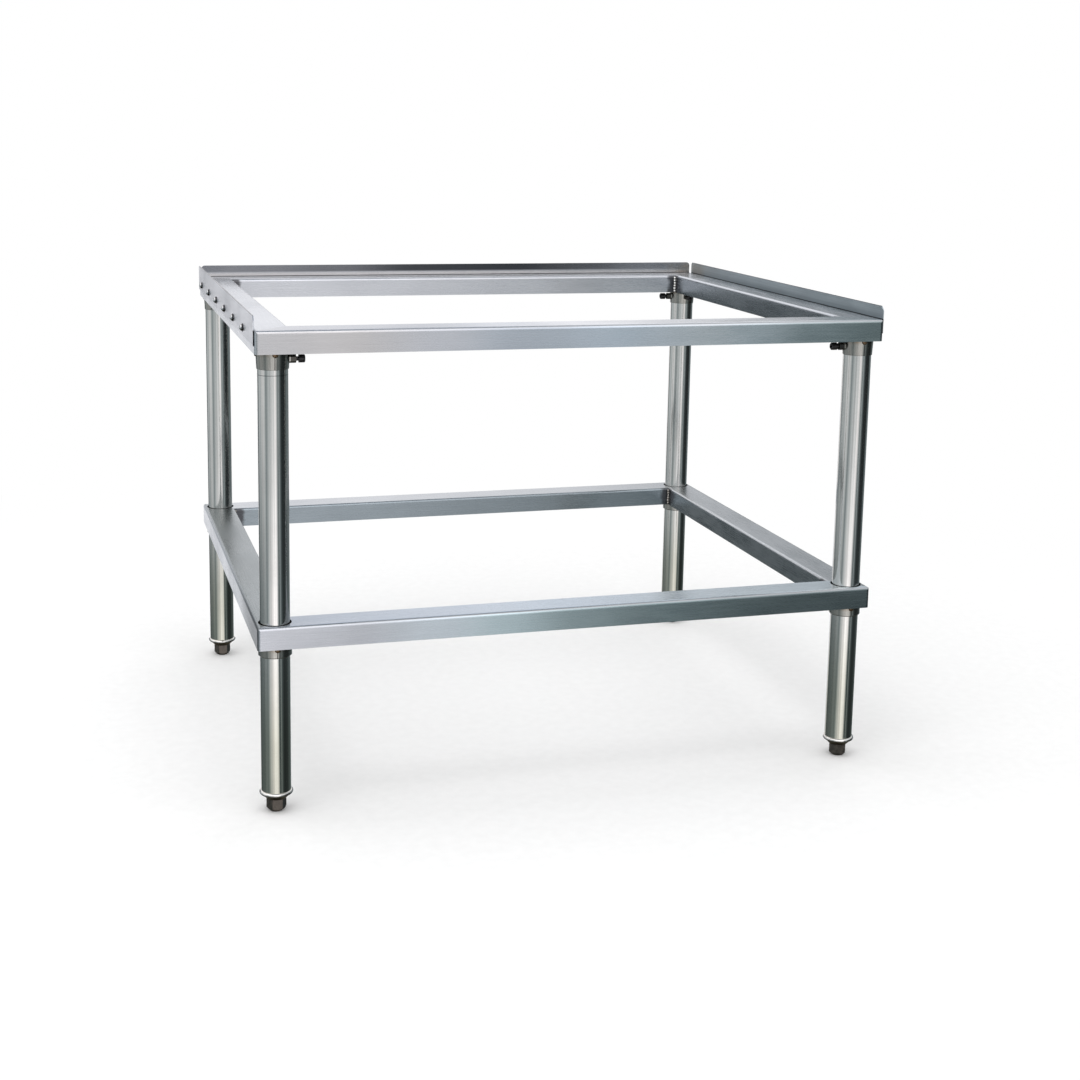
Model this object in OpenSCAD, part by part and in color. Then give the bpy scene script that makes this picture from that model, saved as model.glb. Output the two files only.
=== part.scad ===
// Open-frame equipment stand for a propane burner: a guarded top frame, four tube legs in sockets,
// a height-adjustable undershelf frame and four screw-in levelling feet.
// Origin: floor level under the middle of the rail frame. +X right, +Y to the back, +Z up.

/* [Frame] */
// Width of the rail frame over its outer faces
frame_w = 914.4; // [600:0.1:1500]
// Depth of the rail frame over its outer faces
frame_d = 762; // [500:1:900]
// Height of the rail tops, where the burner rests, above the floor
rest_h = 674; // [600:1:900]
// Height of the undershelf tops above the floor
shelf_h = 270; // [230:1:300]

/* [Rails] */
// Width of the folded channel rails
rail_w = 50.8; // [50:0.1:60]
// Height of the folded channel rails
rail_h = 32; // [28:1:45]
// Sheet thickness of the rails
sheet_t = 2; // [1.8:0.1:2.5]
// Outside radius of the rails' folds
fold_r = 5; // [3:0.1:5.5]
// Radius ground on the frames' vertical corners
corner_r = 5; // [3:0.5:5]

/* [Legs] */
// Outside diameter of the leg tubes
leg_d = 41.3; // [38:0.1:42]
// Wall of the leg tubes
leg_wall = 1.5; // [1.2:0.1:2]
// Distance of each leg's axis from the frame's outer faces
leg_inset = 27; // [26:0.5:29]

/* [Sockets] */
// Radial clearance of a leg in its socket
socket_gap = 0.2; // [0.1:0.05:0.3]
// Outside diameter of a socket inside the rails
socket_d = 45.6; // [44.6:0.1:48]
// Outside diameter of a socket at its lower end
socket_end_d = 43.4; // [43:0.1:44.5]
// How far a socket reaches below the rails
socket_drop = 22; // [18:1:30]
// Thickness of a socket's closed top
socket_cap_t = 4; // [3:0.5:6]
// How far a socket screw's axis lies below the rails
socket_screw_drop = 9.5; // [6:0.5:11]

/* [Undershelf] */
// Radial gap between a leg and its hole in the undershelf
hole_gap = 2.25; // [1:0.05:2.5]
// Radial clearance of a leg in its sliding collar
collar_gap = 0.35; // [0.3:0.05:0.6]
// Outside diameter of a collar below the rails
collar_d = 46.2; // [45:0.1:46.5]
// How far a collar reaches below the rails
collar_drop = 14; // [10:1:20]
// How far a collar screw's axis lies above the rails' lower edge
collar_screw_rise = 2.5; // [2:0.5:8]

/* [Screws] */
// Shank diameter of the clamping screws
screw_d = 6; // [5:1:6]
// Head diameter of the clamping screws
screw_head_d = 11; // [9:0.5:11]
// Distance from a leg's axis to the outer end of its clamping screws
screw_reach = 43; // [41:0.5:45]

/* [Guards] */
// How far the guards stand above the rail tops
guard_rise = 19; // [10:1:60]
// How far the guards reach down the rails' outer faces
guard_lap = 21; // [16:1:26]
// Sheet thickness of the guards
guard_t = 1.5; // [1.2:0.1:2]
// Size of the clipped corner at the front of each side guard
guard_clip = 6; // [2:0.5:10]
// Gap from the front face to the side guards
guard_front_gap = 4.5; // [0:0.5:10]
// Gap from the frame's corners to the guards' back ends
guard_back_gap = 3; // [1:0.5:8]
// Radius of the guards' rounded top corners at the back
guard_r = 6; // [2:0.5:10]

/* [Rivets] */
// Rivets in each side guard
side_rivets = 6; // [3:1:10]
// Rivets in the back guard
back_rivets = 8; // [3:1:14]
// Diameter of a rivet's dome head
rivet_head_d = 11; // [10:0.5:12]
// Height of a rivet's dome head
rivet_head_h = 4.6; // [2:0.1:5]
// How far the rivet row lies below the rail tops
rivet_drop = 10; // [9:0.5:14]
// Distance of the first side rivet from the front face
rivet_front = 120; // [60:1:140]
// Distance of the last rivet of a row from the frame's corner
rivet_end = 56; // [40:1:120]

/* [Feet] */
// Height of a foot's hex
foot_h = 18; // [14:1:30]
// Width of a foot's hex across its flats
foot_af = 24; // [22:1:26]
// Diameter of a foot's threaded stem
stem_d = 16; // [12:1:16]
// Height of a leg plug's flange, from the foot to the tube
flange_h = 12; // [10:1:16]
// Diameter of a leg plug's flange
flange_d = 46.6; // [45:0.1:50]

/* [Hidden] */
$fn = 64;
leg_r = leg_d / 2;
half_w = frame_w / 2;
half_d = frame_d / 2;
foot_gap = 0.3;
fold_inner_r = 1.5;
leg_bottom = foot_h + foot_gap + flange_h;
plug_len = 28;
stem_len = 38;
socket_top = rest_h - sheet_t;
socket_bottom = rest_h - rail_h - socket_drop;
leg_top = socket_top - socket_cap_t;
collar_top = shelf_h - sheet_t;
collar_bottom = shelf_h - rail_h - collar_drop;
screw_gap = 0.05;
// How far cuts run past the faces they open, and how far joined blocks reach into each other
cut = 1;
lap = 0.1;
screw_head_h = 8.5;
screw_chamfer = 0.8;
hex_recess_d = 5.8;
hex_recess_h = 4;
nut_af = 10;
nut_to_head = 3.5;
nut_lap = 0.6;
nut_end = screw_reach - screw_head_h - nut_to_head;
socket_chamfer = 0.3;
collar_chamfer = 1.2;
collar_flange = 2;
collar_recess = 10;
stem_gap = 0.4;
rim_h = 6;
flange_base_r = 14.5;
foot_chamfer = 2.5;
rivet_shank_d = 4.8;
rivet_tail_d = 8;
rivet_tail_h = 1.6;

// Name, side along X and side along Y of each corner of the stand
CORNERS = [
    ["front_left", -1, -1],
    ["front_right", 1, -1],
    ["back_left", -1, 1],
    ["back_right", 1, 1],
];
// Name, turn about Z, and length of the side of the frame that each rail makes
SIDES = [
    ["front", 0, frame_w],
    ["right", 90, frame_d],
    ["back", 180, frame_w],
    ["left", 270, frame_d],
];

steel = [0.72, 0.74, 0.76];
bright_steel = [0.82, 0.83, 0.85];
dark_steel = [0.32, 0.30, 0.28];
black_oxide = [0.10, 0.10, 0.11];

// Places a corner's part on the leg axis, turned so that +X and +Y point into the frame
module at_corner(corner) {
    translate([corner[1] * (half_w - leg_inset), corner[2] * (half_d - leg_inset), 0])
        face_inwards(corner) children();
}

module face_inwards(corner) {
    mirror([corner[1] > 0 ? 1 : 0, 0, 0]) mirror([0, corner[2] > 0 ? 1 : 0, 0]) children();
}

// Outline of the frame seen from above, with ground corners
module frame_plan() {
    square([frame_w - 2 * corner_r, frame_d], center = true);
    square([frame_w, frame_d - 2 * corner_r], center = true);
    for (corner = CORNERS)
        translate([corner[1] * (half_w - corner_r), corner[2] * (half_d - corner_r)]) circle(corner_r);
}

// Block outline with both upper corners rounded
module rounded_top(w, h, r) {
    square([w, h - r]);
    translate([r, 0]) square([w - 2 * r, h]);
    for (x = [r, w - r]) translate([x, h - r]) circle(r);
}

// Inverted channel, its outer lip at x = 0 and its lower edge at y = 0
module channel_profile() {
    difference() {
        rounded_top(rail_w, rail_h, fold_r);
        translate([sheet_t, -cut])
            rounded_top(rail_w - 2 * sheet_t, rail_h - sheet_t + cut, fold_inner_r);
    }
}

// One side of a frame: a channel with mitred ends, its lower edge at z = 0
module mitred_rail(side) {
    length = side[2];
    reach = (side[2] == frame_w ? frame_d : frame_w) / 2;
    intersection() {
        rotate(side[1]) translate([-length / 2, -reach, 0])
            rotate([90, 0, 90]) linear_extrude(length) channel_profile();
        linear_extrude(rail_h) intersection() {
            frame_plan();
            rotate(side[1]) translate([-length / 2, -reach])
                polygon([[0, 0], [length, 0], [length - rail_w, rail_w], [rail_w, rail_w]]);
        }
    }
}

module top_rail(side) {
    color(steel) difference() {
        translate([0, 0, rest_h - rail_h]) mitred_rail(side);
        if (side[0] == "left") side_rivet_places() rivet_hole();
        if (side[0] == "right") mirror([1, 0, 0]) side_rivet_places() rivet_hole();
        if (side[0] == "back") back_rivet_places() rivet_hole();
    }
}

module shelf_rail(side) {
    color(steel) difference() {
        translate([0, 0, shelf_h - rail_h]) mitred_rail(side);
        for (corner = CORNERS)
            at_corner(corner) translate([0, 0, shelf_h - rail_h - cut])
                cylinder(r = leg_r + hole_gap, h = rail_h + 2 * cut);
    }
}

// Rivet axes of the left guard: children point outwards along +Z from the rail's face
module side_rivet_places() {
    step = (frame_d - rivet_front - rivet_end) / (side_rivets - 1);
    for (i = [0 : side_rivets - 1])
        translate([-half_w, -half_d + rivet_front + i * step, rest_h - rivet_drop])
            rotate([0, -90, 0]) children();
}

module back_rivet_places() {
    step = (frame_w - 2 * rivet_end) / (back_rivets - 1);
    for (i = [0 : back_rivets - 1])
        translate([-half_w + rivet_end + i * step, half_d, rest_h - rivet_drop])
            rotate([-90, 0, 0]) children();
}

module rivet_hole() {
    translate([0, 0, -2 * sheet_t])
        cylinder(d = rivet_shank_d + 2 * screw_gap, h = 2 * sheet_t + 2 * guard_t);
}

// Blind rivet through guard and rail: dome outside, flattened tail inside
module rivet() {
    dome_r = (pow(rivet_head_d / 2, 2) + pow(rivet_head_h, 2)) / (2 * rivet_head_h);
    translate([0, 0, guard_t]) intersection() {
        translate([0, 0, rivet_head_h - dome_r]) sphere(dome_r);
        cylinder(d = rivet_head_d, h = rivet_head_h);
    }
    translate([0, 0, -sheet_t]) cylinder(d = rivet_shank_d, h = sheet_t + guard_t + rivet_head_h / 2);
    translate([0, 0, -sheet_t - rivet_tail_h]) cylinder(d = rivet_tail_d, h = rivet_tail_h);
}

module rivets_left() {
    color(bright_steel) side_rivet_places() rivet();
}

module rivets_right() {
    color(bright_steel) mirror([1, 0, 0]) side_rivet_places() rivet();
}

module rivets_back() {
    color(bright_steel) back_rivet_places() rivet();
}

// Side guard seen from the right: x runs to the back, y runs up from the rail tops
module side_guard_outline() {
    front = -half_d + guard_front_gap;
    back = half_d - guard_back_gap;
    difference() {
        union() {
            translate([front, -guard_lap]) square([back - front, guard_lap + guard_rise - guard_r]);
            translate([front, -guard_lap]) square([back - front - guard_r, guard_lap + guard_rise]);
            translate([back - guard_r, guard_rise - guard_r]) circle(guard_r);
        }
        translate([front, guard_rise - guard_clip])
            polygon([[-cut, -cut], [guard_clip + cut, guard_clip + cut], [-cut, guard_clip + cut]]);
    }
}

module guard_left() {
    color(bright_steel) difference() {
        translate([-half_w, 0, rest_h]) rotate([90, 0, 90]) translate([0, 0, -guard_t])
            linear_extrude(guard_t) side_guard_outline();
        side_rivet_places() rivet_hole();
    }
}

module guard_right() {
    color(steel) mirror([1, 0, 0]) guard_left();
}

module guard_back() {
    length = frame_w - 2 * guard_back_gap;
    color(steel) difference() {
        translate([0, half_d + guard_t, rest_h]) rotate([90, 0, 0]) linear_extrude(guard_t) {
            translate([-length / 2, -guard_lap]) square([length, guard_lap + guard_rise - guard_r]);
            translate([-length / 2 + guard_r, -guard_lap])
                square([length - 2 * guard_r, guard_lap + guard_rise]);
            for (x = [-1, 1])
                translate([x * (length / 2 - guard_r), guard_rise - guard_r]) circle(guard_r);
        }
        back_rivet_places() rivet_hole();
    }
}

// The two clamping directions at a corner: children lie along +X and start at the leg's axis
module screw_places(z) {
    for (turn = [0, 90]) translate([0, 0, z]) rotate(turn) rotate([0, 90, 0]) children();
}

// Cap screw with a hex recess, its tip that far short of the leg
module clamp_screw(tip_gap) {
    tip = leg_r + tip_gap;
    translate([0, 0, tip]) cylinder(d = screw_d, h = screw_reach - screw_head_h / 2 - tip);
    translate([0, 0, screw_reach - screw_head_h]) difference() {
        union() {
            cylinder(d = screw_head_d, h = screw_head_h - screw_chamfer);
            translate([0, 0, screw_head_h - screw_chamfer])
                cylinder(d1 = screw_head_d, d2 = screw_head_d - 2 * screw_chamfer, h = screw_chamfer);
        }
        translate([0, 0, screw_head_h - hex_recess_h])
            cylinder(d = hex_recess_d, h = hex_recess_h + cut, $fn = 6);
    }
}

// Weld nuts that carry the clamping screws of a socket or collar bored to this radius
module weld_nut(bore_r, z) {
    root = bore_r + nut_lap;
    screw_places(z) difference() {
        translate([0, 0, root]) cylinder(d = nut_af / cos(30), h = nut_end - root, $fn = 6);
        cylinder(d = screw_d + 2 * screw_gap, h = screw_reach);
    }
}

module leg_socket(corner) {
    bore_r = leg_r + socket_gap;
    screw_z = rest_h - rail_h - socket_screw_drop;
    color(bright_steel) at_corner(corner) {
        difference() {
            union() {
                translate([0, 0, rest_h - rail_h]) cylinder(d = socket_d, h = rail_h - sheet_t);
                translate([0, 0, socket_bottom + socket_chamfer])
                    cylinder(d1 = socket_end_d, d2 = socket_d, h = socket_drop - socket_chamfer);
                translate([0, 0, socket_bottom])
                    cylinder(d1 = socket_end_d - 2 * socket_chamfer, d2 = socket_end_d, h = socket_chamfer);
            }
            translate([0, 0, socket_bottom - cut])
                cylinder(r = bore_r, h = leg_top - socket_bottom + cut + screw_gap);
            screw_places(screw_z) cylinder(d = screw_d + 2 * screw_gap, h = screw_reach);
        }
        weld_nut(bore_r, screw_z);
    }
}

module socket_screws(corner) {
    color(black_oxide) at_corner(corner)
        screw_places(rest_h - rail_h - socket_screw_drop) clamp_screw(screw_gap);
}

module leg_tube(corner) {
    color(steel) at_corner(corner) translate([0, 0, leg_bottom]) difference() {
        cylinder(r = leg_r, h = leg_top - leg_bottom);
        translate([0, 0, -cut]) cylinder(r = leg_r - leg_wall, h = leg_top - leg_bottom + 2 * cut);
    }
}

// Plug pressed into the bottom of a leg: a flange that the tube stands on and a threaded bore
module leg_plug(corner) {
    color(bright_steel) at_corner(corner) translate([0, 0, leg_bottom]) difference() {
        union() {
            cylinder(r = leg_r - leg_wall, h = plug_len);
            rotate_extrude() flange_profile();
        }
        translate([0, 0, -flange_h - cut])
            cylinder(d = stem_d + 2 * stem_gap, h = flange_h + plug_len + 2 * cut);
    }
}

// Half section of a plug's flange: a dished underside and a rounded rim, its top at y = 0
module flange_profile() {
    edge_r = rim_h / 2;
    translate([0, -rim_h]) square([flange_d / 2 - edge_r, rim_h]);
    translate([flange_d / 2 - edge_r, -edge_r]) circle(edge_r);
    polygon([
        [0, -rim_h + lap],
        [flange_d / 2 - edge_r, -rim_h + lap],
        [flange_base_r, -flange_h],
        [0, -flange_h],
    ]);
}

module shelf_collar(corner) {
    bore_r = leg_r + collar_gap;
    screw_z = shelf_h - rail_h + collar_screw_rise;
    color(bright_steel) at_corner(corner) {
        difference() {
            union() {
                translate([0, 0, shelf_h - rail_h])
                    cylinder(d = collar_d + collar_flange, h = rail_h - sheet_t);
                translate([0, 0, collar_bottom + collar_chamfer])
                    cylinder(d = collar_d, h = collar_drop - collar_chamfer);
                translate([0, 0, collar_bottom])
                    cylinder(d1 = collar_d - 2 * collar_chamfer, d2 = collar_d, h = collar_chamfer);
            }
            translate([0, 0, collar_bottom - cut]) cylinder(r = bore_r, h = collar_top);
            translate([0, 0, collar_top - collar_recess])
                cylinder(r = leg_r + hole_gap, h = collar_recess + cut);
            screw_places(screw_z) cylinder(d = screw_d + 2 * screw_gap, h = screw_reach);
        }
        weld_nut(bore_r, screw_z);
    }
}

module collar_screws(corner) {
    color(black_oxide) at_corner(corner)
        screw_places(shelf_h - rail_h + collar_screw_rise) clamp_screw(collar_gap);
}

// Levelling foot: a chamfered hex that turns by wrench and a stem that screws into the plug
module foot(corner) {
    hex_d = foot_af / cos(30);
    cone_d = foot_af + 2 * foot_chamfer;
    color(dark_steel) at_corner(corner) {
        intersection() {
            cylinder(d = hex_d, h = foot_h, $fn = 6);
            union() {
                cylinder(d1 = foot_af - 2 * foot_chamfer, d2 = cone_d, h = 2 * foot_chamfer);
                translate([0, 0, 2 * foot_chamfer]) cylinder(d = cone_d, h = foot_h);
            }
        }
        translate([0, 0, foot_h - cut]) cylinder(d = stem_d, h = stem_len + cut);
    }
}

for (side = SIDES) {
    top_rail(side);
    shelf_rail(side);
}
guard_left();
guard_right();
guard_back();
rivets_left();
rivets_right();
rivets_back();
for (corner = CORNERS) {
    leg_socket(corner);
    socket_screws(corner);
    leg_tube(corner);
    leg_plug(corner);
    shelf_collar(corner);
    collar_screws(corner);
    foot(corner);
}
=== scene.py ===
"""Open-frame burner stand: finishes, welds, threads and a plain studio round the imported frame."""
import math

import bmesh
import bpy
from mathutils import Matrix, Vector


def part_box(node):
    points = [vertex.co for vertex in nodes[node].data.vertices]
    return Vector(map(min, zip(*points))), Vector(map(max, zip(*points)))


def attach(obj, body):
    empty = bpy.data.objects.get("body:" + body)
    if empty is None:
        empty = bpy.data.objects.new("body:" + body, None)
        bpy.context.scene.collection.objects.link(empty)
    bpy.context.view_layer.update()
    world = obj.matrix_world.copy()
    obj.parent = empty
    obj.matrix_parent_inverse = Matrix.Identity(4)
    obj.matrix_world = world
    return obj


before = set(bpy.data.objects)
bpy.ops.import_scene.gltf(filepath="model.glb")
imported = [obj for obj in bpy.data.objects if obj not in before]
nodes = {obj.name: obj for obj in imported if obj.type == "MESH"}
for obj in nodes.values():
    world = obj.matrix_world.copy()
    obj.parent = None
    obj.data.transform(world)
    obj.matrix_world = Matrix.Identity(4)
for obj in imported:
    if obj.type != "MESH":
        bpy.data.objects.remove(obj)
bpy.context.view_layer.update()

# --- Camera: the photograph's viewpoint, as seen in a 1080 x 1080 picture ---------------------------
EYE = Vector((-0.7232, -2.5567, 0.9503))
YAW, PITCH, ROLL = -0.2934, -0.1685, -0.0185
SENSOR = 36.0
LENS = 55.555
SHIFT_Y = -0.125


def add_camera():
    data = bpy.data.cameras.new("camera")
    data.sensor_width = SENSOR
    data.lens = LENS
    data.shift_y = SHIFT_Y
    data.clip_end = 200.0
    camera = bpy.data.objects.new("camera", data)
    bpy.context.scene.collection.objects.link(camera)
    aim = Matrix.Rotation(YAW, 3, "Z") @ Vector((0, math.cos(PITCH), math.sin(PITCH)))
    side = Matrix.Rotation(YAW, 3, "Z") @ Vector((1, 0, 0))
    down = aim.cross(side)
    right = side * math.cos(ROLL) + down * math.sin(ROLL)
    below = down * math.cos(ROLL) - side * math.sin(ROLL)
    turn = Matrix((right, -below, -aim)).transposed()
    camera.matrix_world = Matrix.Translation(EYE) @ turn.to_4x4()
    bpy.context.scene.camera = camera


# --- Node-tree helpers ------------------------------------------------------------------------------
class Graph:
    """Adds shader nodes to a material or world in a few words."""

    def __init__(self, owner):
        owner.use_nodes = True
        self.tree = owner.node_tree
        self.tree.nodes.clear()

    def add(self, kind, values=None, **settings):
        node = self.tree.nodes.new(kind)
        for key, value in settings.items():
            setattr(node, key, value)
        for key, value in (values or {}).items():
            self.put(node, key, value)
        return node

    def put(self, node, key, value):
        if isinstance(value, bpy.types.NodeSocket):
            self.tree.links.new(value, node.inputs[key])
        else:
            node.inputs[key].default_value = value

    def math(self, operation, a, b=0.0, clamp=False):
        node = self.add("ShaderNodeMath", {0: a, 1: b}, operation=operation, use_clamp=clamp)
        return node.outputs[0]

    def ramp(self, factor, stops, interpolation="EASE"):
        """stops are (place, grey) or (place, (r, g, b))."""
        node = self.add("ShaderNodeValToRGB", {0: factor})
        band = node.color_ramp
        band.interpolation = interpolation
        while len(band.elements) < len(stops):
            band.elements.new(0.5)
        for element, (place, value) in zip(band.elements, stops):
            element.position = place
            rgb = value if isinstance(value, tuple) else (value, value, value)
            element.color = (*rgb, 1.0)
        return node.outputs[0]

    def noise(self, vector, scale, detail=3.0, roughness=0.55, distortion=0.0):
        values = {"Vector": vector, "Scale": scale, "Detail": detail,
                  "Roughness": roughness, "Distortion": distortion}
        return self.add("ShaderNodeTexNoise", values).outputs[0]

    def stretched(self, scale):
        """Object-space place, in metres, scaled along X, Y and Z."""
        place = self.add("ShaderNodeTexCoord").outputs["Object"]
        return self.add("ShaderNodeMapping", {"Vector": place, "Scale": scale}).outputs[0]

    def place(self, letter):
        """One object-space coordinate, in metres."""
        place = self.add("ShaderNodeTexCoord").outputs["Object"]
        return self.add("ShaderNodeSeparateXYZ", {0: place}).outputs["XYZ".index(letter)]

    def span(self, value, start, end):
        """0 at start and 1 at end."""
        return self.add("ShaderNodeMapRange", {"Value": value, "From Min": start, "From Max": end}).outputs[0]

    def ease(self, value, start, end):
        """Rises smoothly from 0 at start to 1 at end; start may be the larger."""
        values = {"Value": value, "From Min": start, "From Max": end}
        return self.add("ShaderNodeMapRange", values, interpolation_type="SMOOTHSTEP").outputs[0]

    def spread(self, value, low, high):
        """Maps 0.3 to 0.7, where noise mostly lies, onto low to high."""
        values = {"Value": value, "From Min": 0.3, "From Max": 0.7, "To Min": low, "To Max": high}
        return self.add("ShaderNodeMapRange", values).outputs[0]

    def mix(self, factor, a, b, blend="MIX"):
        node = self.add("ShaderNodeMix", data_type="RGBA", blend_type=blend)
        self.put(node, 0, factor)
        self.put(node, 6, a)
        self.put(node, 7, b)
        return node.outputs[2]


def rgb(r, g, b):
    return (r, g, b, 1.0)


# --- Frame measures, in metres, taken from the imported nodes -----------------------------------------
FRONT_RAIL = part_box("top_rail_front")
HALF_W, HALF_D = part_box("top_rail_right")[1][0], -FRONT_RAIL[0][1]
GUARD_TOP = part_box("guard_left")[1][2]
RAIL_W = FRONT_RAIL[1][1] - FRONT_RAIL[0][1]
RAIL_TOP, RAIL_BOTTOM = FRONT_RAIL[1][2], FRONT_RAIL[0][2]
SHELF_TOP, SHELF_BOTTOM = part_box("shelf_rail_front")[1][2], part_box("shelf_rail_front")[0][2]
INNER_X, INNER_Y = HALF_W - RAIL_W, HALF_D - RAIL_W
TUBE_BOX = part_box("leg_tube_front_right")
TUBE_R = (TUBE_BOX[1][0] - TUBE_BOX[0][0]) / 2
LEG_X = (TUBE_BOX[1][0] + TUBE_BOX[0][0]) / 2
LEG_Y = -(TUBE_BOX[1][1] + TUBE_BOX[0][1]) / 2
SOCKET_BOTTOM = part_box("leg_socket_front_right")[0][2]
WELD_RIPPLES, WELD_FOOT, WELD_HEAD = 6, 0.0005, 0.0025
WELD_PITCH = (RAIL_TOP - RAIL_BOTTOM - WELD_FOOT - WELD_HEAD) / WELD_RIPPLES
CORNERS = {"front_left": (-1, -1), "front_right": (1, -1), "back_left": (-1, 1), "back_right": (1, 1)}

# --- Materials --------------------------------------------------------------------------------------
GRAIN = {"X": (1.0, 0.0, 0.0), "Y": (0.0, 1.0, 0.0), "Z": (0.0, 0.0, 1.0)}


def grain_scale(axis, along, across):
    return tuple(along if letter == axis else across for letter in "XYZ")


def brushed(name, axis, low, high, rough, anisotropy=0.6, stain=0.30, marks=None):
    """Sheet steel with its grain along one axis: fine streaks, faint blotches and smears.

    marks(g, tone, gloss) may return another tone and gloss, with tints painted by place on the sheet."""
    material = bpy.data.materials.new(name)
    g = Graph(material)
    streak_wide = g.noise(g.stretched(grain_scale(axis, 4.0, 900.0)), 1.0, detail=4.0, roughness=0.7)
    streak_fine = g.noise(g.stretched(grain_scale(axis, 20.0, 2600.0)), 1.0, detail=2.0)
    blotch = g.noise(g.stretched((5.0, 5.0, 7.0)), 1.0, detail=4.0, roughness=0.6)
    smear = g.noise(g.stretched(grain_scale(axis, 11.0, 46.0)), 1.0, detail=5.0, distortion=0.5)
    tone = g.mix(g.spread(streak_wide, 0.0, 1.0), low, high)
    tone = g.mix(g.spread(blotch, 0.0, stain), tone, rgb(*[0.78 * v for v in low[:3]]))
    tone = g.mix(g.spread(smear, -0.3 * stain, 0.7 * stain), tone, rgb(*[1.12 * v for v in high[:3]]))
    gloss = g.math("ADD", g.spread(streak_fine, -0.04, 0.04), rough)
    gloss = g.math("ADD", gloss, g.spread(blotch, -0.03, 0.04))
    gloss = g.math("ADD", gloss, g.spread(smear, -0.03, 0.03), clamp=True)
    if marks:
        tone, gloss = marks(g, tone, gloss)
    height = g.math("ADD", g.math("MULTIPLY", streak_fine, 0.6), g.math("MULTIPLY", streak_wide, 0.4))
    bump = g.add("ShaderNodeBump", {"Height": height, "Strength": 0.035, "Distance": 0.0003})
    tangent = g.add("ShaderNodeCombineXYZ", dict(zip("XYZ", GRAIN[axis]))).outputs[0]
    shader = g.add("ShaderNodeBsdfPrincipled", {
        "Base Color": tone, "Metallic": 1.0, "Roughness": gloss, "Anisotropic": anisotropy,
        "Anisotropic Rotation": 0.25, "Tangent": tangent, "Normal": bump.outputs[0]})
    g.add("ShaderNodeOutputMaterial", {"Surface": shader.outputs[0]})
    return material


def tube_steel(name, low, high, rough, marks=None):
    """Polished tube: fine rings left by the polishing belt, faint lengthwise draw lines and smears."""
    material = bpy.data.materials.new(name)
    g = Graph(material)
    rings = g.noise(g.stretched((30.0, 30.0, 1500.0)), 1.0, detail=3.0)
    draw = g.noise(g.stretched((700.0, 700.0, 1.8)), 1.0, detail=4.0, roughness=0.7)
    blotch = g.noise(g.stretched((24.0, 24.0, 9.0)), 1.0, detail=5.0, roughness=0.6)
    tone = g.mix(g.spread(draw, 0.0, 1.0), low, high)
    tone = g.mix(g.spread(blotch, -0.1, 0.25), tone, rgb(*[0.72 * v for v in low[:3]]))
    gloss = g.math("ADD", g.spread(rings, -0.03, 0.03), rough)
    gloss = g.math("ADD", gloss, g.spread(blotch, -0.03, 0.05), clamp=True)
    if marks:
        tone, gloss = marks(g, tone, gloss)
    height = g.math("ADD", g.math("MULTIPLY", rings, 0.2), g.math("MULTIPLY", draw, 0.8))
    bump = g.add("ShaderNodeBump", {"Height": height, "Strength": 0.14, "Distance": 0.0003})
    tangent = g.add("ShaderNodeCombineXYZ", dict(zip("XYZ", GRAIN["Z"]))).outputs[0]
    shader = g.add("ShaderNodeBsdfPrincipled", {
        "Base Color": tone, "Metallic": 1.0, "Roughness": gloss, "Anisotropic": 0.5,
        "Tangent": tangent, "Normal": bump.outputs[0]})
    g.add("ShaderNodeOutputMaterial", {"Surface": shader.outputs[0]})
    return material


def cast_metal(name, low, high, rough, metallic, fineness, bumpiness, marks=None):
    """Small fittings: mottled colour, uneven gloss and a fine surface texture."""
    material = bpy.data.materials.new(name)
    g = Graph(material)
    mottle = g.noise(g.stretched((180.0, 180.0, 180.0)), 1.0, detail=5.0, roughness=0.65)
    pits = g.noise(g.stretched((fineness,) * 3), 1.0, detail=3.0)
    tone = g.mix(g.spread(mottle, 0.0, 1.0), low, high)
    gloss = g.math("ADD", g.spread(mottle, -0.3 * rough, 0.35 * rough), rough, clamp=True)
    if marks:
        tone, gloss = marks(g, tone, gloss)
    bump = g.add("ShaderNodeBump", {"Height": pits, "Strength": bumpiness, "Distance": 0.0003})
    shader = g.add("ShaderNodeBsdfPrincipled", {
        "Base Color": tone, "Metallic": metallic, "Roughness": gloss, "Normal": bump.outputs[0]})
    g.add("ShaderNodeOutputMaterial", {"Surface": shader.outputs[0]})
    return material


# Colours that the marks mix or multiply into a tone
# Heat tint and painted shade in the inner corners beside the welds
HEAT_TINT_AND_CORNER_SHADE = rgb(0.075, 0.075, 0.080)
BROWN_HEAT = rgb(0.23, 0.16, 0.10)
# Brown painted shade under the rim of each leg plug
RIM_PAINTED_SHADE = rgb(0.20, 0.15, 0.095)
BROWN_STAIN = rgb(0.50, 0.38, 0.26)
PALE_TAN = rgb(0.72, 0.68, 0.64)
OXIDE = rgb(0.03, 0.028, 0.026)
# Painted shade in the crevice between a guard and the rail tops
CREVICE_SHADE = rgb(0.012, 0.014, 0.018)
# Painted shade on a side guard's front edge and along its brim
EDGE_PAINTED_SHADE = rgb(0.012, 0.012, 0.014)
SEAM_DARK = rgb(0.04, 0.04, 0.04)
NUT_DARK = rgb(0.055, 0.050, 0.045)
DOME_SHADE = rgb(0.015, 0.015, 0.017)
RUBBED = rgb(0.12, 0.12, 0.12)
# Painted reflection: the dark band along the back guard's inner face
GUARD_BAND_PAINTED_REFLECTION = rgb(0.030, 0.033, 0.038)
# Painted shade low on a side guard's inner face, next to the rail
GUARD_FOOT_PAINTED_SHADE = rgb(0.24, 0.29, 0.31)
# Painted shade on the inner face of the back undershelf rail
SHELF_INNER_PAINTED_SHADE = rgb(0.62, 0.67, 0.69)
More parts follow.
